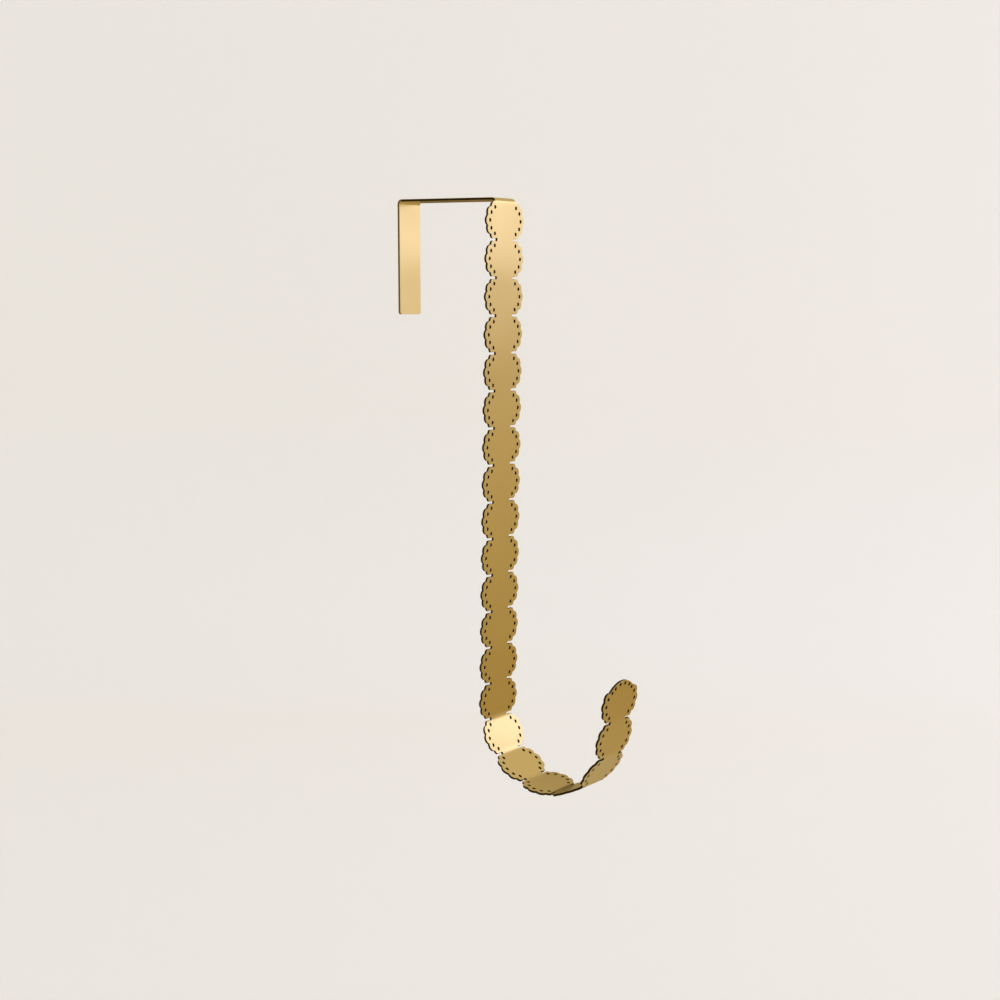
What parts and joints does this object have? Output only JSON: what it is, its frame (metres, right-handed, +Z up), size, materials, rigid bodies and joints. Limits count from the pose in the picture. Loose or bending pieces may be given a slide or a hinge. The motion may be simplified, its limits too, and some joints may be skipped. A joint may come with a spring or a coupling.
{
  "type": "wreath hanger",
  "caption": "Over-the-door hanger folded from a brass strip: plain tab and bridge hook over the door, and a scalloped, pierced strap hangs down the front and curls forward into a hook",
  "frame": {"origin": "middle of the underside of the bridge, which rests on the top edge of the door", "axes": "+X across the strip, -Y towards the front of the door (the hook side), +Y towards its back (the tab side), +Z up"},
  "size_m": [0.0254, 0.1097, 0.2371],
  "materials": {
    "brass_sheet": "satin brushed brass sheet with softly rounded cut edges"
  },
  "bodies": {
    "root": {"wreath_hanger": "brass_sheet"}
  },
  "joints": []
}
